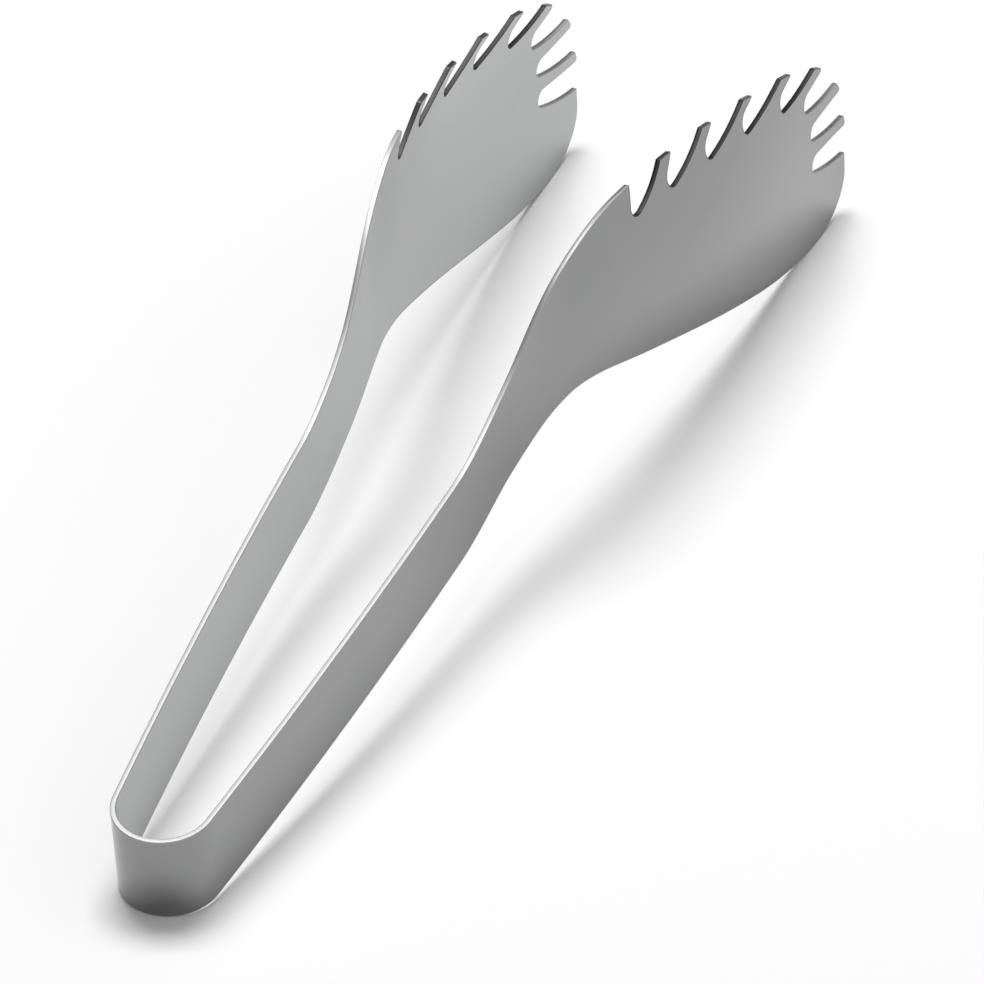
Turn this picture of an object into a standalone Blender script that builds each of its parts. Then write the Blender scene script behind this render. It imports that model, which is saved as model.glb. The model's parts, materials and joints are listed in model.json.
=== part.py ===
"""Spaghetti tongs: one bent strip of steel sheet with two cupped, slotted heads.

Everything is first laid out on the flat blank, in millimetres. A point of the blank is given by
its distance along the strip and its height across it. The blank is symmetric about its middle,
where the bend is. Then the blank is bent along the plan line, and its two heads are pressed
into shallow cups.
"""
import math

import bmesh
import bpy
from mathutils import Matrix, Vector
from mathutils.geometry import delaunay_2d_cdt

MM = 0.001

# Strip
SHEET = 1.0
STRIP_WIDTH = 18.0
BEND_RADIUS = 8.9
ARM_LENGTH = 92.0
PIVOT_FROM_BEND = 20.0
JOINT_GAP = 0.3

# Plan line: how far each arm splays from the centre line, in degrees. The arm starts at the end
# of the bend, and the head's distances count from the end of the arm.
ARM_SPLAY_START = 5.6
ARM_SPLAY_END = 2.1
HEAD_SPLAY = ((14.0, 2.2), (40.0, 9.9), (54.0, 9.2), (70.0, 6.3), (123.0, 1.8), (150.0, 0.8))

# Head blank, from the end of the arm: distance along the strip, height across it.
NECK_TOP = ((10.0, 10.3), (24.0, 15.6), (40.0, 25.3), (54.0, 29.2))
FIRST_CORNER = (65.6, 28.6)
TEETH = (
    ((76.6, 25.8), (80.7, 24.7)),
    ((92.2, 20.9), (96.1, 19.4)),
    ((108.3, 14.6), (112.4, 12.6)),
    ((123.8, 7.0), (128.5, 4.6)),
    ((137.9, -2.0), (141.9, -4.9)),
    ((147.0, -13.0), (148.4, -15.7)),
    ((149.0, -22.6), (149.6, -25.2)),
)
LAST_CORNER = (148.4, -31.2)
SLOT_ENDS = (
    (66.7, 23.5, 2.2),
    (79.4, 20.5, 2.3),
    (93.4, 15.9, 2.3),
    (108.0, 10.0, 2.3),
    (123.6, 2.1, 2.2),
    (133.3, -6.6, 2.0),
    (134.8, -14.8, 1.8),
    (134.5, -22.2, 1.8),
)
NOSE_AND_BELLY = ((147.6, -37.0), (143.5, -40.8), (136.0, -42.0), (120.0, -38.0), (100.0, -29.4), (70.0, -14.6),
                  (50.0, -5.2), (38.0, -3.1), (22.0, -5.4))

# Cup of each head: its deepest point, and where along the head it starts and ends
CUP_DEPTH = 2.8
CUP_START = 33.0
CUP_END = 150.0
CUP_FALL = 1.5

# Fineness of the mesh
BEND_STEP = 1.3
ARM_STEP = 6.0
EDGE_STEP = 4.0
GRID_STEP = 5.0
GRID_MARGIN = 1.6
ARC_SEGMENTS = 7
PLAN_STEP = 0.25
NORMAL_STEP = 0.05
MERGE_DISTANCE = 0.000001
TOUCH = 0.1
SHARP_ANGLE = 40.0

STEEL_COLOUR = (0.53, 0.54, 0.53, 1.0)
STEEL_ROUGHNESS = 0.38

HALF_WIDTH = STRIP_WIDTH / 2
BEND_LENGTH = BEND_RADIUS * math.radians(90.0 - ARM_SPLAY_START)
NECK = BEND_LENGTH + ARM_LENGTH
PIVOT = BEND_LENGTH + PIVOT_FROM_BEND
LEFT = 1.0
RIGHT = -1.0


def clear_scene():
    """Start from an empty file."""
    for thing in list(bpy.data.objects):
        bpy.data.objects.remove(thing, do_unlink=True)


def splay_at(along):
    """Angle in radians between the strip and the centre line, at a distance from the blank's middle."""
    knots = [(0.0, 90.0), (BEND_LENGTH, ARM_SPLAY_START), (NECK, ARM_SPLAY_END)]
    knots += [(NECK + distance, degrees) for distance, degrees in HEAD_SPLAY]
    for (start, first), (end, last) in zip(knots, knots[1:]):
        if along <= end:
            share = (along - start) / (end - start)
            return math.radians(first + (last - first) * share)
    return math.radians(knots[-1][1])


def plan_line():
    """Points of the sheet's middle line, seen from above, at every PLAN_STEP from the bend's middle."""
    points = [Vector((-BEND_RADIUS, 0.0))]
    length = NECK + CUP_END + EDGE_STEP
    for index in range(int(length / PLAN_STEP)):
        splay = splay_at((index + 0.5) * PLAN_STEP)
        points.append(points[-1] + PLAN_STEP * Vector((math.cos(splay), math.sin(splay))))
    return points


PLAN = plan_line()


def plan_point(along):
    """Place of the sheet's middle line at a distance from the blank's middle."""
    index = min(int(along / PLAN_STEP), len(PLAN) - 2)
    return PLAN[index].lerp(PLAN[index + 1], along / PLAN_STEP - index)


def smooth(points, before, after, step):
    """A Catmull-Rom curve through points, cut into pieces about one step long."""
    knots = [Vector(p) for p in (before, *points, after)]
    curve = []
    for a, b, c, d in zip(knots, knots[1:], knots[2:], knots[3:]):
        count = max(1, round((c - b).length / step))
        for index in range(count):
            t = index / count
            curve.append(0.5 * (2 * b + t * (c - a) + t ** 2 * (2 * a - 5 * b + 4 * c - d)
                                + t ** 3 * (3 * b - 3 * c + d - a)))
    curve.append(knots[-2])
    return curve


def slot_edge(end, entry, leave):
    """Edge of one slot: from the tooth before it, round its end, to the tooth after it."""
    centre = Vector(end[:2])
    radius = end[2]

    def touch_angle(corner, turn):
        reach = Vector(corner) - centre
        return math.atan2(reach.y, reach.x) + turn * math.acos(radius / reach.length)

    first = touch_angle(entry, 1)
    last = touch_angle(leave, -1)
    while last < first:
        last += 2 * math.pi
    angles = [first + (last - first) * i / ARC_SEGMENTS for i in range(ARC_SEGMENTS + 1)]
    return [centre + radius * Vector((math.cos(a), math.sin(a))) for a in angles]


def head_rim(step):
    """Outline of the head's blank without its slots: its top edge and its bottom edge."""
    start_top = (0.0, HALF_WIDTH)
    start_bottom = (0.0, -HALF_WIDTH)
    tips = [corner for tooth in TEETH for corner in tooth]
    crest = smooth((start_top, *NECK_TOP, FIRST_CORNER), (-EDGE_STEP, HALF_WIDTH), TEETH[0][0], step)
    belly = smooth((LAST_CORNER, *NOSE_AND_BELLY, start_bottom), TEETH[-1][1], (-EDGE_STEP, -HALF_WIDTH), step)
    return crest, [Vector(tip) for tip in tips], belly


def head_outline(step):
    """Outline of the head's blank with its slots, from the end of the arm."""
    crest, tips, belly = head_rim(step)
    entries = [FIRST_CORNER] + [tooth[1] for tooth in TEETH]
    leaves = [tooth[0] for tooth in TEETH] + [LAST_CORNER]
    outline = list(crest)
    outline[0] = Vector((JOINT_GAP / 2, HALF_WIDTH))
    for index, (end, entry, leave) in enumerate(zip(SLOT_ENDS, entries, leaves)):
        outline += slot_edge(end, entry, leave)
        if index < len(TEETH):
            outline += [Vector(corner) for corner in TEETH[index]]
    outline += belly[:-1]
    outline.append(Vector((JOINT_GAP / 2, -HALF_WIDTH)))
    return [Vector((NECK + p.x, p.y)) for p in outline]


def edge_height(edge, distance):
    """Height of an edge, a list of points, at a distance along the head."""
    heights = []
    for a, b in zip(edge, edge[1:]):
        if min(a.x, b.x) <= distance <= max(a.x, b.x) and a.x != b.x:
            heights.append(a.y + (b.y - a.y) * (distance - a.x) / (b.x - a.x))
    return heights


RIM_CREST, RIM_TIPS, RIM_BELLY = head_rim(EDGE_STEP)


def cup_offset(along, height):
    """How far the pressed cup stands out from the bent strip."""
    distance = along - NECK
    share = (distance - CUP_START) / (CUP_END - CUP_START)
    if share <= 0.0 or share >= 1.0:
        return 0.0
    tops = edge_height(RIM_CREST + RIM_TIPS + [Vector(LAST_CORNER)], distance)
    bottoms = edge_height(RIM_BELLY, distance)
    if not tops or not bottoms:
        return 0.0
    top = max(tops)
    bottom = min(bottoms)
    across = (2 * height - top - bottom) / (top - bottom)
    depth = CUP_DEPTH * math.sin(math.pi * share) ** CUP_FALL
    return depth * max(0.0, 1.0 - across ** 2)


def sheet_middle(along, height, side):
    """Point of the sheet's middle surface. The blank's middle is at 0 along."""
    if along < 0.0:
        along = -along
        side = -side
    spot = plan_point(along)
    splay = splay_at(along)
    out = cup_offset(along, height)
    return Vector((spot.x - out * math.sin(splay), side * (spot.y + out * math.cos(splay)), height))


def sheet_normal(along, height, side):
    """Outward normal of the sheet's middle surface."""
    step = NORMAL_STEP
    run = sheet_middle(along + step, height, side) - sheet_middle(along - step, height, side)
    rise = sheet_middle(along, height + step, side) - sheet_middle(along, height - step, side)
    return side * rise.cross(run).normalized()


def distance_to_edge(spot, outline):
    """Distance from a point of the blank to an outline."""
    nearest = math.inf
    for a, b in zip(outline, outline[1:] + outline[:1]):
        side = b - a
        share = (spot - a).dot(side) / side.length_squared
        foot = a + side * max(0.0, min(1.0, share))
        nearest = min(nearest, (spot - foot).length)
    return nearest


def inside(spot, outline):
    """True where a point of the blank lies inside an outline."""
    odd = False
    for a, b in zip(outline, outline[1:] + outline[:1]):
        if (a.y > spot.y) != (b.y > spot.y):
            if spot.x < a.x + (spot.y - a.y) * (b.x - a.x) / (b.y - a.y):
                odd = not odd
    return odd


def grid_points(outline, step, margin):
    """Points on a square grid that lie inside an outline and clear of its edge."""
    left = min(p.x for p in outline)
    low = min(p.y for p in outline)
    columns = int((max(p.x for p in outline) - left) / step) + 1
    rows = int((max(p.y for p in outline) - low) / step) + 1
    points = []
    for column in range(columns):
        for row in range(rows):
            spot = Vector((left + (column + 0.5) * step, low + (row + 0.5) * step))
            if inside(spot, outline) and distance_to_edge(spot, outline) > margin:
                points.append(spot)
    return points


def sheet_mesh(name, outline, inner, side, origin):
    """Closed solid of the sheet inside an outline of the blank, bent and pressed to shape."""
    flat, _, faces, _, _, _ = delaunay_2d_cdt(outline + inner, [], [list(range(len(outline)))], 1, MERGE_DISTANCE)
    mesh = bpy.data.meshes.new(name)
    work = bmesh.new()
    layers = []
    for offset in (SHEET / 2, -SHEET / 2):
        layer = []
        for spot in flat:
            middle = sheet_middle(spot.x, spot.y, side)
            normal = sheet_normal(spot.x, spot.y, side)
            layer.append(work.verts.new((middle + offset * normal - origin) * MM))
        layers.append(layer)
    outer, inner_layer = layers
    borders = {}
    for face in faces:
        work.faces.new([outer[i] for i in face])
        work.faces.new([inner_layer[i] for i in reversed(face)])
        for a, b in zip(face, face[1:] + face[:1]):
            if (b, a) in borders:
                del borders[(b, a)]
            else:
                borders[(a, b)] = True
    for a, b in borders:
        work.faces.new((outer[b], outer[a], inner_layer[a], inner_layer[b]))
    bmesh.ops.recalc_face_normals(work, faces=work.faces)
    bmesh.ops.triangulate(work, faces=work.faces)
    work.to_mesh(mesh)
    work.free()
    mesh.shade_smooth()
    mesh.set_sharp_from_angle(angle=math.radians(SHARP_ANGLE))
    return mesh


def strip_outline(start, end, step):
    """Outline of a plain length of the strip, with a point at each step on both edges."""
    count = max(1, round((end - start) / step))
    stations = [start + (end - start) * i / count for i in range(count + 1)]
    top = [Vector((along, HALF_WIDTH)) for along in stations]
    bottom = [Vector((along, -HALF_WIDTH)) for along in reversed(stations)]
    return top + bottom


def bend_outline():
    """Outline of the bend and its two stubs, finer round the bend."""
    end = PIVOT - JOINT_GAP / 2
    count = round(BEND_LENGTH / BEND_STEP)
    half = [BEND_LENGTH * i / count for i in range(count + 1)]
    stub_count = round((end - BEND_LENGTH) / ARM_STEP)
    half += [BEND_LENGTH + (end - BEND_LENGTH) * (i + 1) / stub_count for i in range(stub_count)]
    stations = [-along for along in reversed(half[1:])] + half
    top = [Vector((along, HALF_WIDTH)) for along in stations]
    bottom = [Vector((along, -HALF_WIDTH)) for along in reversed(stations)]
    return top + bottom


def steel(name):
    """Satin stainless steel."""
    material = bpy.data.materials.new(name)
    material.use_nodes = True
    shader = material.node_tree.nodes["Principled BSDF"]
    shader.inputs["Base Color"].default_value = STEEL_COLOUR
    shader.inputs["Metallic"].default_value = 1.0
    shader.inputs["Roughness"].default_value = STEEL_ROUGHNESS
    return material


def add_empty(name, location, parent):
    """An empty that carries pieces."""
    empty = bpy.data.objects.new(name, None)
    bpy.context.scene.collection.objects.link(empty)
    empty.parent = parent
    empty.location = location
    return empty


def add_piece(name, mesh, parent):
    """One piece of the tongs with its own material."""
    piece = bpy.data.objects.new(name, mesh)
    bpy.context.scene.collection.objects.link(piece)
    piece.parent = parent
    mesh.materials.append(steel(name + "_steel"))
    return piece


def add_side(name, side, tongs):
    """One arm and its head, carried at the place where the strip flexes."""
    spot = plan_point(PIVOT)
    origin = Vector((spot.x, side * spot.y, 0.0))
    pivot = add_empty(name + "_pivot", origin * MM, tongs)
    arm_outline = strip_outline(PIVOT + JOINT_GAP / 2, NECK - JOINT_GAP / 2, ARM_STEP)
    outline = head_outline(EDGE_STEP)
    arm = add_piece(name + "_arm", sheet_mesh(name + "_arm", arm_outline, [], side, origin), pivot)
    inner = grid_points(outline, GRID_STEP, GRID_MARGIN)
    head = add_piece(name + "_head", sheet_mesh(name + "_head", outline, inner, side, origin), pivot)
    return arm, head


def rest_on_edge(tongs, pieces):
    """Tilt and move the tongs so that the bend and both heads touch the ground, and centre them on it."""
    bpy.context.view_layer.update()
    corners = [piece.matrix_world @ v.co for piece in pieces for v in piece.data.vertices]
    lower_edge = [c for c in corners if c.z < (TOUCH - HALF_WIDTH) * MM]
    heel = min(lower_edge, key=lambda c: c.x)
    tilt = max(math.atan2(heel.z - c.z, c.x - heel.x) for c in corners if c.x > heel.x + MM)
    turn = Matrix.Rotation(-tilt, 4, "Y")
    turned = [turn @ c for c in corners]
    middle = (min(c.x for c in turned) + max(c.x for c in turned)) / 2
    ground = min(c.z for c in turned)
    tongs.rotation_euler = (0.0, -tilt, 0.0)
    tongs.location = (-middle, 0.0, -ground)


def build():
    """Make the whole object."""
    clear_scene()
    tongs = add_empty("tongs", (0.0, 0.0, 0.0), None)
    pieces = [add_piece("spring_bend", sheet_mesh("spring_bend", bend_outline(), [], LEFT, Vector()), tongs)]
    pieces += add_side("left", LEFT, tongs)
    pieces += add_side("right", RIGHT, tongs)
    rest_on_edge(tongs, pieces)


build()
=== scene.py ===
"""Spaghetti tongs in satin steel: a fine, round-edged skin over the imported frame, on a white table."""
import json
import math

import bmesh
import bpy
import numpy as np
from mathutils import Matrix, Vector
from mathutils.geometry import delaunay_2d_cdt


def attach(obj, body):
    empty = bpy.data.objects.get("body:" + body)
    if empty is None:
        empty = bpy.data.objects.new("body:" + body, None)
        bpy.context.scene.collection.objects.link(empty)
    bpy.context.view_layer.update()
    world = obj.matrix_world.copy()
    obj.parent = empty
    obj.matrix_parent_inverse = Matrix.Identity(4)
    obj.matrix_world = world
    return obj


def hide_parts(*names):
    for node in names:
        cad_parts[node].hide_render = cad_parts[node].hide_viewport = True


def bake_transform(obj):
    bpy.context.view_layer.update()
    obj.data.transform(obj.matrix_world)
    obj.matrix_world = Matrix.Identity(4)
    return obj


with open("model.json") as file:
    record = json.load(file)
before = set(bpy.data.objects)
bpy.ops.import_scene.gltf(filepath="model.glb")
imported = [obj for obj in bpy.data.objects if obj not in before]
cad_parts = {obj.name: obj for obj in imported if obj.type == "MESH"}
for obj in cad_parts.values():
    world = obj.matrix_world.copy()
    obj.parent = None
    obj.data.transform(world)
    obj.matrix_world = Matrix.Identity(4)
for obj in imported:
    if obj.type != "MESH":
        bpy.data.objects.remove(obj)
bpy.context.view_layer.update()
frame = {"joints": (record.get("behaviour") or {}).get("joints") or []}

MM = 0.001

# Sides of the centre line
LEFT = 1.0
RIGHT = -1.0

# Strip, in millimetres, with the values of the CAD source
SHEET = 1.0
STRIP_WIDTH = 18.0
BEND_RADIUS = 8.9
ARM_LENGTH = 92.0
PIVOT_FROM_BEND = 20.0

# Splay of the strip from the centre line, in degrees: at the bend, at the neck, at distances past the neck
ARM_SPLAY_START = 5.6
ARM_SPLAY_END = 2.1
HEAD_SPLAY = ((14.0, 2.2), (40.0, 9.9), (54.0, 9.2), (70.0, 6.3), (123.0, 1.8), (150.0, 0.8))

# Head blank, from the end of the arm: distance along the strip, height across it
NECK_TOP = ((10.0, 10.3), (24.0, 15.6), (40.0, 25.3), (54.0, 29.2))
FIRST_CORNER = (65.6, 28.6)
TEETH = (
    ((76.6, 25.8), (80.7, 24.7)),
    ((92.2, 20.9), (96.1, 19.4)),
    ((108.3, 14.6), (112.4, 12.6)),
    ((123.8, 7.0), (128.5, 4.6)),
    ((137.9, -2.0), (141.9, -4.9)),
    ((147.0, -13.0), (148.4, -15.7)),
    ((149.0, -22.6), (149.6, -25.2)),
)
LAST_CORNER = (148.4, -31.2)
NOSE = ((147.6, -37.0), (143.5, -40.8), (136.0, -42.0))
BELLY = ((120.0, -38.0), (100.0, -29.4), (70.0, -14.6), (50.0, -5.2), (38.0, -3.1), (22.0, -5.4))

# Round ends of the slots: distance along the strip, height across it, radius
SLOT_ENDS = (
    (66.7, 23.5, 2.2),
    (79.4, 20.5, 2.3),
    (93.4, 15.9, 2.3),
    (108.0, 10.0, 2.3),
    (123.6, 2.1, 2.2),
    (133.3, -6.6, 2.0),
    (134.8, -14.8, 1.8),
    (134.5, -22.2, 1.8),
)

# Rounding of the first corner, the seven teeth's ends and the last corner, and the hollow of the rear sides
TIP_RADII = (0.3, 0.3, 0.3, 0.3, 0.3, 0.6, 0.6, 0.6, 0.3)
TOOTH_HOLLOW = 0.5

# Pressed cup of the head
CUP_DEPTH = 2.8
CUP_START = 33.0
CUP_END = 150.0
CUP_FALL = 1.5

HALF_WIDTH = STRIP_WIDTH / 2
BEND_LENGTH = BEND_RADIUS * math.radians(90.0 - ARM_SPLAY_START)
NECK = BEND_LENGTH + ARM_LENGTH
PIVOT = BEND_LENGTH + PIVOT_FROM_BEND

# Skin: where the bend's piece meets the arms, how far the skin stays inside the CAD faces, and its cut edges
SEAM_FROM_BEND = 3.0
SEAM = BEND_LENGTH + SEAM_FROM_BEND
SKIN_INSET = 0.02
EDGE_RADIUS = 0.10
EDGE_LOOP = 0.12

# Fineness of the curves and the mesh
PLAN_STEP = 0.25
PLAN_SPARE = 3.2
CUP_STEP = 0.5
NORMAL_STEP = 0.05
EDGE_STEP = 1.2
BEND_EDGE_STEP = 0.6
GRID_STEP = 1.6
GRID_MARGIN = 0.9
ROUND_STEPS = 4
TIP_STEPS = 5
SLOT_STEPS = 14
HOLLOW_STEPS = 6
SHARP_ANGLE = 40.0

# Points nearer than this are one point: in millimetres on the blank, and in metres in the mesh
MERGE_DISTANCE = 0.00001
WELD_DISTANCE = 0.0000001

# A corner of an outline moves in by at most 1 / MITRE_LIMIT times the inset of its sides
MITRE_LIMIT = 0.5

# The triangulation's setting that keeps only what lies inside the outline
KEEP_INSIDE = 1

# Material places on every piece of skin
OUTSIDE = 0
INSIDE = 1
CUT_EDGE = 2
SLOT_WALL = 3
TOOTH_TIP = 4

# The walls and tips of the first slots are painted dark, as painted shade standing in for dark reflections,
# and the ones round the tip keep the cut edge's finish
PAINTED_DARK_SLOTS = 5

# Finishes in the order of the material places: name, colour, roughness, strength of grain and marks. The
# outside's colour is darker than the inside's as painted shade, standing in for the reflected shadow on the
# table.
FINISHES = (
    # Painted shade: the outside is darker than the inside, standing in for the dark reflection of the table's
    # shadow
    ("polished_outside_painted_shade", (0.255, 0.26, 0.257), 0.2, 0.65),
    ("satin_inside", (0.39, 0.40, 0.395), 0.3, 0.65),
    ("smoothed_edge", (0.37, 0.37, 0.367), 0.5, 0.65),
    # Painted shade: the near-black slot walls and dark grey tooth tips stand in for dark reflections on these
    # edges
    ("slot_wall_painted_shade", (0.05, 0.05, 0.049), 0.5, 1.0),
    ("tooth_tip_painted_shade", (0.13, 0.13, 0.128), 0.4, 1.0),
)
ANISOTROPY = 0.35

# Map of the flat blank, on which 100 mm are 1
UV_NAME = "blank"
UV_PER_MM = 0.01

# Noises over the blank: scale along the strip, scale across it, detail and seed
GRAIN_NOISE = (9.0, 620.0, 3.0, 1.0)
MARKS_NOISE = (5.0, 7.0, 4.0, 4.0)

# How far a seed shifts a noise across the strip for each 1 along it
SEED_SLANT = 0.7

# Noise values that give the lowest and the highest result
NOISE_LOW = 0.3
NOISE_HIGH = 0.7

# How far a full-strength noise moves the colour and the roughness either way
GRAIN_TONE = 0.035
MARKS_TONE = 0.04
ROUGHNESS_SPREAD = 0.03

# Relief of the grain: its strength, and its depth in metres
GRAIN_RELIEF = 0.10
GRAIN_DEPTH = 0.00003

# Table, in metres, and its material
FLOOR_REACH = 3.0
FLOOR_DROP = 0.0001
FLOOR_COLOUR = (0.94, 0.94, 0.94, 1.0)
FLOOR_ROUGHNESS = 0.9
FLOOR_SPECULAR = 0.1
FLOOR_GLOW = 0.04
WHITE = (1.0, 1.0, 1.0, 1.0)

# Softbox above, in metres and watts
KEY_DIRECTION = (0.2, 0.12, 1.0)
KEY_DISTANCE = 2.5
KEY_LENGTH = 1.3
KEY_WIDTH = 1.05
KEY_POWER = 49.0

# Surround: the direction it is brightest in, how far towards it dark ends and full brightness starts, levels
CEILING_SIDE = (0.0, -0.5, 0.866)
DARK_BELOW = 0.34
BRIGHT_ABOVE = 0.48
DARK_LEVEL = 0.06
BRIGHT_LEVEL = 0.4
SEEN_LEVEL = 0.95

# Camera: place in millimetres, and the directions ahead and down
CAMERA_PLACE = (-1841.0, -828.1, 1450.0)
CAMERA_FORWARD = (0.74396, 0.33019, -0.58094)
CAMERA_DOWN = (-0.53405, -0.22874, -0.81392)

# Lens: focal length and frame in pixels, sensor in millimetres, nearest and farthest seen in metres
FOCAL_PIXELS = 13779.0
FRAME_PIXELS = 984.0
SENSOR_WIDTH = 36.0
NEAREST = 0.05
FARTHEST = 20.0


def splay_at(along):
    """Angle between the strip and the centre line, in radians."""
    places = [0.0, BEND_LENGTH, NECK] + [NECK + distance for distance, _ in HEAD_SPLAY]
    degrees = [90.0, ARM_SPLAY_START, ARM_SPLAY_END] + [value for _, value in HEAD_SPLAY]
    return np.radians(np.interp(along, places, degrees))


def plan_line():
    """The sheet's middle line seen from above, at every PLAN_STEP from the bend's middle."""
    count = int((NECK + CUP_END + PLAN_SPARE) / PLAN_STEP)
    splay = splay_at((np.arange(count) + 0.5) * PLAN_STEP)
    x = np.concatenate([[0.0], np.cumsum(np.cos(splay))]) * PLAN_STEP - BEND_RADIUS
    y = np.concatenate([[0.0], np.cumsum(np.sin(splay))]) * PLAN_STEP
    return np.arange(count + 1) * PLAN_STEP, x, y


def smooth(points, before, after, step):
    """A Catmull-Rom curve through points, cut into pieces about one step long."""
    knots = [Vector(p) for p in (before, *points, after)]
    curve = []
    for a, b, c, d in zip(knots, knots[1:], knots[2:], knots[3:]):
        count = max(1, round((c - b).length / step))
        for index in range(count):
            t = index / count
            curve.append(0.5 * (2 * b + t * (c - a) + t ** 2 * (2 * a - 5 * b + 4 * c - d)
                                + t ** 3 * (3 * b - 3 * c + d - a)))
    curve.append(knots[-2])
    return curve


def crest_line(step):
    """Top edge of the head's blank, from the arm, which it leaves level, to the first slot."""
    run_in = (-NECK_TOP[0][0], NECK_TOP[0][1])
    return smooth(((0.0, HALF_WIDTH), *NECK_TOP, FIRST_CORNER), run_in, TEETH[0][0], step)


def belly_line(step):
    """Edge of the head's blank from the last slot round the nose to the arm, which it meets level."""
    run_out = (-BELLY[-1][0], BELLY[-1][1])
    return smooth((LAST_CORNER, *NOSE, *BELLY, (0.0, -HALF_WIDTH)), TEETH[-1][1], run_out, step)


def heights_at(line, distances, pick):
    """The highest or lowest point of an edge at each distance along the head, or nan where it has none."""
    found = []
    for distance in distances:
        here = [a.y + (b.y - a.y) * (distance - a.x) / (b.x - a.x)
                for a, b in zip(line, line[1:]) if a.x != b.x and min(a.x, b.x) <= distance <= max(a.x, b.x)]
        found.append(pick(here) if here else math.nan)
    return np.array(found)


def cup_edges():
    """Distances along the head, with the height of its top and bottom edges at each."""
    distances = np.arange(CUP_START, LAST_CORNER[0], CUP_STEP)
    teeth = [Vector(corner) for tooth in TEETH for corner in tooth]
    top = heights_at(crest_line(EDGE_STEP) + teeth + [Vector(LAST_CORNER)], distances, max)
    bottom = heights_at(belly_line(EDGE_STEP), distances, min)
    return distances, top, bottom


PLAN_AT, PLAN_X, PLAN_Y = plan_line()
CUP_AT, CUP_TOP, CUP_BOTTOM = cup_edges()


def cup_offset(along, height):
    """How far the pressed cup stands out from the bent strip."""
    distance = along - NECK
    share = np.clip((distance - CUP_START) / (CUP_END - CUP_START), 0.0, 1.0)
    top = np.interp(distance, CUP_AT, CUP_TOP)
    bottom = np.interp(distance, CUP_AT, CUP_BOTTOM)
    across = (2 * height - top - bottom) / (top - bottom)
    return CUP_DEPTH * np.sin(np.pi * share) ** CUP_FALL * np.maximum(0.0, 1.0 - across ** 2)


def sheet_middle(along, height, side):
    """Points of the sheet's middle surface. The blank's middle is at 0 along."""
    side = np.where(along < 0.0, -side, side)
    along = np.abs(along)
    splay = splay_at(along)
    out = cup_offset(along, height)
    x = np.interp(along, PLAN_AT, PLAN_X) - out * np.sin(splay)
    y = np.interp(along, PLAN_AT, PLAN_Y) + out * np.cos(splay)
    return np.stack([x, side * y, height], axis=1)


def sheet_normal(along, height, side):
    """Outward normals of the sheet's middle surface."""
    step = NORMAL_STEP
    run = sheet_middle(along + step, height, side) - sheet_middle(along - step, height, side)
    rise = sheet_middle(along, height + step, side) - sheet_middle(along, height - step, side)
    normal = side * np.cross(rise, run)
    return normal / np.linalg.norm(normal, axis=1)[:, None]


def rounded(before, corner, after, radius):
    """A corner of an outline turned into an arc."""
    back = (before - corner).normalized()
    ahead = (after - corner).normalized()
    half = back.angle(ahead) / 2
    centre = corner + (back + ahead).normalized() * radius / math.sin(half)
    start = corner + back * radius / math.tan(half) - centre
    end = corner + ahead * radius / math.tan(half) - centre
    turn = start.angle_signed(end)
    points = []
    for index in range(TIP_STEPS + 1):
        points.append(centre + Matrix.Rotation(-turn * index / TIP_STEPS, 2) @ start)
    return points


def slot_arc(end, entry, leave):
    """The round end of one slot, from the front side of one tooth to the hollow rear side of the next."""
    centre = Vector(end[:2])
    radius = end[2]

    def touch_angle(corner, turn):
        reach = corner - centre
        return math.atan2(reach.y, reach.x) + turn * math.acos(radius / reach.length)

    first = touch_angle(entry, 1)
    side_length = math.sqrt((leave - centre).length ** 2 - radius ** 2)
    last = touch_angle(leave, -1) - math.atan(4 * TOOTH_HOLLOW / side_length)
    while last < first:
        last += 2 * math.pi
    angles = [first + (last - first) * i / SLOT_STEPS for i in range(SLOT_STEPS + 1)]
    return [centre + radius * Vector((math.cos(a), math.sin(a))) for a in angles]


def hollow_side(start, end):
    """Points between the ends of a tooth's rear side, which is hollowed into the tooth."""
    run = end - start
    inward = Vector((run.y, -run.x)).normalized()
    points = []
    for index in range(1, HOLLOW_STEPS):
        share = index / HOLLOW_STEPS
        points.append(start + run * share + inward * 4 * TOOTH_HOLLOW * share * (1 - share))
    return points


def head_edge():
    """Outline of one head from the arm's top edge round to its bottom edge, and the kind of each stretch."""
    crest = crest_line(EDGE_STEP)
    belly = belly_line(EDGE_STEP)
    entries = [Vector(FIRST_CORNER)] + [Vector(tooth[1]) for tooth in TEETH]
    leaves = [Vector(tooth[0]) for tooth in TEETH] + [Vector(LAST_CORNER)]
    befores = [crest[-2]] + leaves[:-1]
    afters = entries[1:] + [belly[1]]
    edge = crest[:-1]
    kinds = [CUT_EDGE] * len(edge)
    tip = TOOTH_TIP
    for number, corners in enumerate(zip(SLOT_ENDS, befores, entries, leaves, afters)):
        end, before, entry, leave, after = corners
        arc = slot_arc(end, entry, leave)
        first_tip = rounded(before, entry, arc[0], TIP_RADII[number])
        second_tip = rounded(arc[-1], leave, after, TIP_RADII[number + 1])
        edge += first_tip + arc + hollow_side(arc[-1], second_tip[0]) + second_tip
        kinds += [tip] * TIP_STEPS
        # The first slots' walls and tips take the painted shade that stands in for dark reflections
        painted_dark = number < PAINTED_DARK_SLOTS
        wall = SLOT_WALL if painted_dark else CUT_EDGE
        tip = TOOTH_TIP if painted_dark else CUT_EDGE
        kinds += [wall] * (1 + SLOT_STEPS + HOLLOW_STEPS) + [tip] * (TIP_STEPS + 1)
    return edge + belly[1:], kinds + [CUT_EDGE] * len(belly[1:])


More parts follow.
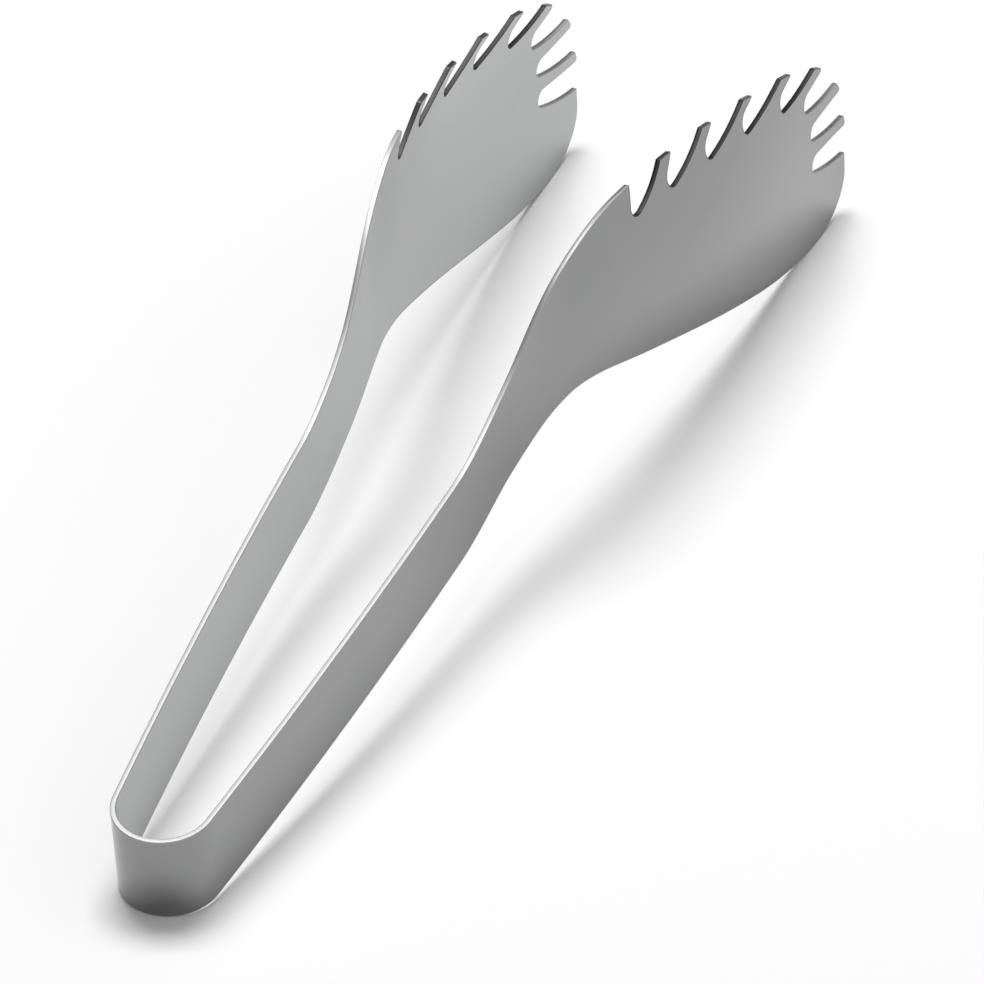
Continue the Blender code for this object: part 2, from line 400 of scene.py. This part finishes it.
def finer(points, kinds, step):
    """The same closed line with no stretch much longer than step, and the kind of each stretch."""
    line = []
    marks = []
    for a, b, kind in zip(points, points[1:] + points[:1], kinds):
        count = max(1, math.ceil((b - a).length / step))
        line += [a.lerp(b, i / count) for i in range(count)]
        marks += [kind] * count
    return line, marks


def half_outline():
    """Outline of one arm and head, from the seam with the bend, and the kind of each stretch."""
    edge, kinds = head_edge()
    line = [Vector((SEAM, HALF_WIDTH))]
    line += [Vector((NECK + p.x, p.y)) for p in edge]
    line += [Vector((SEAM, -HALF_WIDTH))]
    return finer(line, [CUT_EDGE] + kinds + [CUT_EDGE], EDGE_STEP)


def bend_outline():
    """Outline of the bend's piece, between its two seams, and the kind of each stretch."""
    corners = [(-SEAM, HALF_WIDTH), (SEAM, HALF_WIDTH), (SEAM, -HALF_WIDTH), (-SEAM, -HALF_WIDTH)]
    return finer([Vector(c) for c in corners], [CUT_EDGE] * len(corners), BEND_EDGE_STEP)


def edge_normals(outline, seams):
    """Outward directions at an outline's points, long enough to move both neighbouring sides by 1.

    At a seam the direction keeps to the seam, so that the two pieces meet flush.
    """
    points = np.array(outline)
    ahead = np.roll(points, -1, axis=0) - points
    ahead /= np.linalg.norm(ahead, axis=1)[:, None]
    out = np.stack([-ahead[:, 1], ahead[:, 0]], axis=1)
    mean = out + np.roll(out, 1, axis=0)
    mean /= np.linalg.norm(mean, axis=1)[:, None]
    mean /= np.maximum(MITRE_LIMIT, (mean * out).sum(axis=1))[:, None]
    for seam in seams:
        at_seam = np.abs(points[:, 0] - seam) < MERGE_DISTANCE
        corner = at_seam & (np.abs(points[:, 1]) > HALF_WIDTH - MERGE_DISTANCE)
        mean[at_seam] = 0.0
        mean[corner, 1] = np.sign(points[corner, 1])
    return points, mean


def grid_points(outline, step, margin):
    """Points of a square grid that lie inside an outline and clear of its edge."""
    a = np.array(outline)
    b = np.roll(a, -1, axis=0)
    low = a.min(axis=0)
    high = a.max(axis=0)
    xs = np.arange(low[0] + step / 2, high[0], step)
    ys = np.arange(low[1] + step / 2, high[1], step)
    spots = np.stack(np.meshgrid(xs, ys, indexing="ij"), axis=-1).reshape(-1, 2)
    side = b - a
    kept = []
    for spot in spots:
        share = np.clip(((spot - a) * side).sum(axis=1) / (side ** 2).sum(axis=1), 0.0, 1.0)
        gap = np.linalg.norm(a + side * share[:, None] - spot, axis=1).min()
        crosses = (a[:, 1] > spot[1]) != (b[:, 1] > spot[1])
        at = a[crosses, 0] + (spot[1] - a[crosses, 1]) * side[crosses, 0] / side[crosses, 1]
        if gap > margin and (at > spot[0]).sum() % 2:
            kept.append(Vector(spot))
    return kept


def edge_profile():
    """The cut edge from face to face: how far each row lies inside the outline and off the sheet's middle."""
    half = SHEET / 2 - SKIN_INSET
    rows = [(SKIN_INSET + EDGE_RADIUS + EDGE_LOOP, half)]
    for index in range(ROUND_STEPS + 1):
        angle = math.pi / 2 * index / ROUND_STEPS
        inset = SKIN_INSET + EDGE_RADIUS * (1 - math.sin(angle))
        rows.append((inset, half - EDGE_RADIUS * (1 - math.cos(angle))))
    return rows + [(inset, -offset) for inset, offset in reversed(rows)]


def strip_frame():
    """Where the strip's own axes lie in the row's frame, from the record's left hinge."""
    hinge = next(joint for joint in frame["joints"] if joint["name"] == "left_flex")
    up = -Vector(hinge["axis"])
    left = Vector((0.0, 1.0, 0.0))
    along = left.cross(up)
    spot = sheet_middle(np.array([PIVOT]), np.array([0.0]), LEFT)[0]
    origin = Vector(hinge["pos_m"]) - (along * spot[0] + left * spot[1]) * MM
    return np.array([along, left, up]), np.array(origin)


STRIP_AXES, STRIP_ORIGIN = strip_frame()


def placed(points):
    """Points of the strip's frame, in millimetres, put in the row's frame, in metres."""
    return points @ STRIP_AXES * MM + STRIP_ORIGIN


def new_object(name, data):
    """An object in the scene's own collection."""
    made = bpy.data.objects.new(name, data)
    bpy.context.scene.collection.objects.link(made)
    return made


def face_mesh(outline, face_edge):
    """The triangles of one face of the sheet, and where the points of its edge are among the vertices."""
    inner = grid_points(outline, GRID_STEP, GRID_MARGIN)
    count = len(outline)
    edge = [Vector(p) for p in face_edge]
    made = delaunay_2d_cdt(edge + inner, [], [list(range(count))], KEEP_INSIDE, MERGE_DISTANCE)
    flat, _, faces, sources, _, _ = made
    at_edge = {}
    for index, found in enumerate(sources):
        for source in found:
            if source < count:
                at_edge[source] = index
    return np.array(flat), faces, np.array([at_edge[i] for i in range(count)])


def skin_vertices(flat, at_edge, points, out):
    """The vertices' places on the blank and offsets from the sheet's middle, and the rows of the cut edge."""
    profile = edge_profile()
    face_offset = profile[0][1]
    blank = [flat, flat]
    offset = [np.full(len(flat), face_offset), np.full(len(flat), -face_offset)]
    rows = [at_edge]
    for inset, lift in profile[1:-1]:
        rows.append(sum(len(part) for part in blank) + np.arange(len(points)))
        blank.append(points - out * inset)
        offset.append(np.full(len(points), lift))
    rows.append(at_edge + len(flat))
    return np.concatenate(blank), np.concatenate(offset), rows


def skin_polygons(faces, face_vertices, rows, edge_kinds):
    """Both faces and the cut edge of one piece as polygons, and the material place of each."""
    polygons = [tuple(face) for face in faces]
    polygons += [tuple(i + face_vertices for i in reversed(face)) for face in faces]
    kinds = [OUTSIDE] * len(faces) + [INSIDE] * len(faces)
    for upper, lower in zip(rows, rows[1:]):
        for a, kind in enumerate(edge_kinds):
            b = (a + 1) % len(edge_kinds)
            polygons.append((int(upper[b]), int(upper[a]), int(lower[a]), int(lower[b])))
            kinds.append(kind)
    return polygons, kinds


def skin_mesh(name, places, polygons, kinds, flat_map):
    """A closed mesh, smooth but for its sharp edges, with its place on the flat blank as its UV map."""
    mesh = bpy.data.meshes.new(name)
    mesh.from_pydata([tuple(p) for p in places], [], polygons)
    mesh.polygons.foreach_set("material_index", kinds)
    uv = mesh.uv_layers.new(name=UV_NAME)
    corners = np.zeros(len(mesh.loops), dtype=np.int32)
    mesh.loops.foreach_get("vertex_index", corners)
    uv.data.foreach_set("uv", flat_map[corners].ravel())

    work = bmesh.new()
    work.from_mesh(mesh)
    bmesh.ops.remove_doubles(work, verts=work.verts, dist=WELD_DISTANCE)
    bmesh.ops.recalc_face_normals(work, faces=work.faces)
    work.to_mesh(mesh)
    work.free()
    mesh.shade_smooth()
    mesh.set_sharp_from_angle(angle=math.radians(SHARP_ANGLE))
    return mesh


def skin_piece(name, outline, edge_kinds, seams, side):
    """One closed piece of the strip's skin."""
    points, out = edge_normals(outline, seams)
    face_inset = edge_profile()[0][0]
    flat, faces, at_edge = face_mesh(outline, points - out * face_inset)
    blank, offset, rows = skin_vertices(flat, at_edge, points, out)
    polygons, kinds = skin_polygons(faces, len(flat), rows, edge_kinds)
    middle = sheet_middle(blank[:, 0], blank[:, 1], side)
    normal = sheet_normal(blank[:, 0], blank[:, 1], side)
    places = placed(middle + normal * offset[:, None])
    return new_object(name, skin_mesh(name, places, polygons, kinds, blank * (side, 1.0) * UV_PER_MM))


def math_node(tree, operation, a, b):
    """The result of a calculation on two values, each a number or another node's output."""
    node = tree.nodes.new("ShaderNodeMath")
    node.operation = operation
    for socket, value in zip(node.inputs, (a, b)):
        if isinstance(value, float):
            socket.default_value = value
        else:
            tree.links.new(value, socket)
    return node.outputs["Value"]


def blank_noise(tree, blank, settings):
    """A noise over the flat blank, stretched along the strip or across it."""
    along, across, detail, seed = settings
    stretch = tree.nodes.new("ShaderNodeMapping")
    stretch.inputs["Scale"].default_value = (along, across, 1.0)
    stretch.inputs["Location"].default_value = (seed, seed * SEED_SLANT, 0.0)
    tree.links.new(blank, stretch.inputs["Vector"])
    texture = tree.nodes.new("ShaderNodeTexNoise")
    texture.inputs["Scale"].default_value = 1.0
    texture.inputs["Detail"].default_value = detail
    tree.links.new(stretch.outputs["Vector"], texture.inputs["Vector"])
    return texture.outputs["Fac"]


def varied(tree, noise, middle, spread):
    """A noise turned into values about a middle."""
    change = tree.nodes.new("ShaderNodeMapRange")
    change.inputs["From Min"].default_value = NOISE_LOW
    change.inputs["From Max"].default_value = NOISE_HIGH
    change.inputs["To Min"].default_value = middle - spread
    change.inputs["To Max"].default_value = middle + spread
    tree.links.new(noise, change.inputs["Value"])
    return change.outputs["Result"]


def steel(name, colour, roughness, wear):
    """Steel with a fine grain along the strip and faint handling marks, both as strong as wear says."""
    material = bpy.data.materials.new(name)
    material.use_nodes = True
    tree = material.node_tree
    nodes = tree.nodes
    shader = nodes["Principled BSDF"]
    shader.inputs["Metallic"].default_value = 1.0
    shader.inputs["Anisotropic"].default_value = ANISOTROPY

    tangent = nodes.new("ShaderNodeTangent")
    tangent.direction_type = "UV_MAP"
    tangent.uv_map = UV_NAME
    tree.links.new(tangent.outputs["Tangent"], shader.inputs["Tangent"])
    blank = nodes.new("ShaderNodeUVMap")
    blank.uv_map = UV_NAME
    grain = blank_noise(tree, blank.outputs["UV"], GRAIN_NOISE)
    marks = blank_noise(tree, blank.outputs["UV"], MARKS_NOISE)

    grain_tone = varied(tree, grain, 1.0, GRAIN_TONE * wear)
    marks_tone = varied(tree, marks, 1.0, MARKS_TONE * wear)
    tint = nodes.new("ShaderNodeVectorMath")
    tint.operation = "SCALE"
    tint.inputs[0].default_value = colour
    tree.links.new(math_node(tree, "MULTIPLY", grain_tone, marks_tone), tint.inputs["Scale"])
    tree.links.new(tint.outputs["Vector"], shader.inputs["Base Color"])

    grain_rough = varied(tree, grain, roughness, ROUGHNESS_SPREAD * wear)
    marks_rough = varied(tree, marks, 0.0, ROUGHNESS_SPREAD * wear)
    tree.links.new(math_node(tree, "ADD", grain_rough, marks_rough), shader.inputs["Roughness"])

    bump = nodes.new("ShaderNodeBump")
    bump.inputs["Strength"].default_value = GRAIN_RELIEF * wear
    bump.inputs["Distance"].default_value = GRAIN_DEPTH
    tree.links.new(grain, bump.inputs["Height"])
    tree.links.new(bump.outputs["Normal"], shader.inputs["Normal"])
    return material


def make_bend():
    """The skin of the bend, up to the seams with the arms."""
    bend = skin_piece("bend_skin", *bend_outline(), (-SEAM, SEAM), LEFT)
    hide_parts("spring_bend")
    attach(bend, "spring_bend")
    return bend


def make_half(name, side):
    """The skin of one arm and its head."""
    piece = skin_piece(name + "_skin", *half_outline(), (SEAM,), side)
    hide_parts(name + "_arm", name + "_head")
    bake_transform(piece)
    return piece


def make_tongs():
    """The whole strip, with its finishes."""
    pieces = [make_bend(), make_half("left", LEFT), make_half("right", RIGHT)]
    finishes = [steel(*finish) for finish in FINISHES]
    for piece in pieces:
        for material in finishes:
            piece.data.materials.append(material)


def seen_rays(tree, strength):
    """A value that is strength for camera, glossy and transmission rays and 0 for the light on the object."""
    path = tree.nodes.new("ShaderNodeLightPath")
    seen = path.outputs["Is Camera Ray"]
    for name in ("Is Glossy Ray", "Is Transmission Ray"):
        seen = math_node(tree, "MAXIMUM", seen, path.outputs[name])
    return math_node(tree, "MULTIPLY", seen, strength)


def white_table():
    """The table's material."""
    material = bpy.data.materials.new("white_table")
    material.use_nodes = True
    tree = material.node_tree
    shader = tree.nodes["Principled BSDF"]
    shader.inputs["Base Color"].default_value = FLOOR_COLOUR
    shader.inputs["Roughness"].default_value = FLOOR_ROUGHNESS
    shader.inputs["Specular IOR Level"].default_value = FLOOR_SPECULAR
    shader.inputs["Emission Color"].default_value = WHITE
    tree.links.new(seen_rays(tree, FLOOR_GLOW), shader.inputs["Emission Strength"])
    return material


def make_floor():
    """A white table, a hair below the tongs."""
    mesh = bpy.data.meshes.new("floor")
    corners = [(x * FLOOR_REACH, y * FLOOR_REACH, 0.0) for x, y in ((-1, -1), (1, -1), (1, 1), (-1, 1))]
    mesh.from_pydata(corners, [], [(0, 1, 2, 3)])
    mesh.materials.append(white_table())
    floor = new_object("floor", mesh)
    floor.location.z = -FLOOR_DROP


def make_key():
    """The softbox."""
    light = bpy.data.lights.new("key", "AREA")
    light.shape = "RECTANGLE"
    light.size = KEY_LENGTH
    light.size_y = KEY_WIDTH
    light.energy = KEY_POWER
    key = new_object("key", light)
    direction = Vector(KEY_DIRECTION).normalized()
    key.location = direction * KEY_DISTANCE
    key.rotation_euler = direction.to_track_quat("Z", "Y").to_euler()


def make_surround():
    """A world that is bright overhead and dark at the horizon, and nearly white where it is seen."""
    world = bpy.data.worlds.new("surround")
    world.use_nodes = True
    bpy.context.scene.world = world
    tree = world.node_tree
    ray = tree.nodes.new("ShaderNodeTexCoord")
    height = tree.nodes.new("ShaderNodeVectorMath")
    height.operation = "DOT_PRODUCT"
    tree.links.new(ray.outputs["Generated"], height.inputs[0])
    height.inputs[1].default_value = CEILING_SIDE
    glow = tree.nodes.new("ShaderNodeMapRange")
    glow.interpolation_type = "SMOOTHSTEP"
    glow.inputs["From Min"].default_value = DARK_BELOW
    glow.inputs["From Max"].default_value = BRIGHT_ABOVE
    glow.inputs["To Min"].default_value = DARK_LEVEL
    ceiling = math_node(tree, "ADD", BRIGHT_LEVEL, seen_rays(tree, SEEN_LEVEL - BRIGHT_LEVEL))
    tree.links.new(ceiling, glow.inputs["To Max"])
    tree.links.new(height.outputs["Value"], glow.inputs["Value"])
    tree.links.new(glow.outputs["Result"], tree.nodes["Background"].inputs["Strength"])
    tree.nodes["Background"].inputs["Color"].default_value = WHITE


def make_camera():
    """The photograph's viewpoint."""
    data = bpy.data.cameras.new("camera")
    data.sensor_width = SENSOR_WIDTH
    data.lens = FOCAL_PIXELS / FRAME_PIXELS * SENSOR_WIDTH
    data.clip_start = NEAREST
    data.clip_end = FARTHEST
    camera = new_object("camera", data)
    forward = Vector(CAMERA_FORWARD)
    down = Vector(CAMERA_DOWN)
    axes = Matrix((down.cross(forward), -down, -forward)).transposed()
    camera.matrix_world = Matrix.Translation(Vector(CAMERA_PLACE) * MM) @ axes.to_4x4()
    bpy.context.scene.camera = camera


make_tongs()
make_floor()
make_key()
make_surround()
make_camera()
bpy.context.scene.view_settings.view_transform = "Standard"
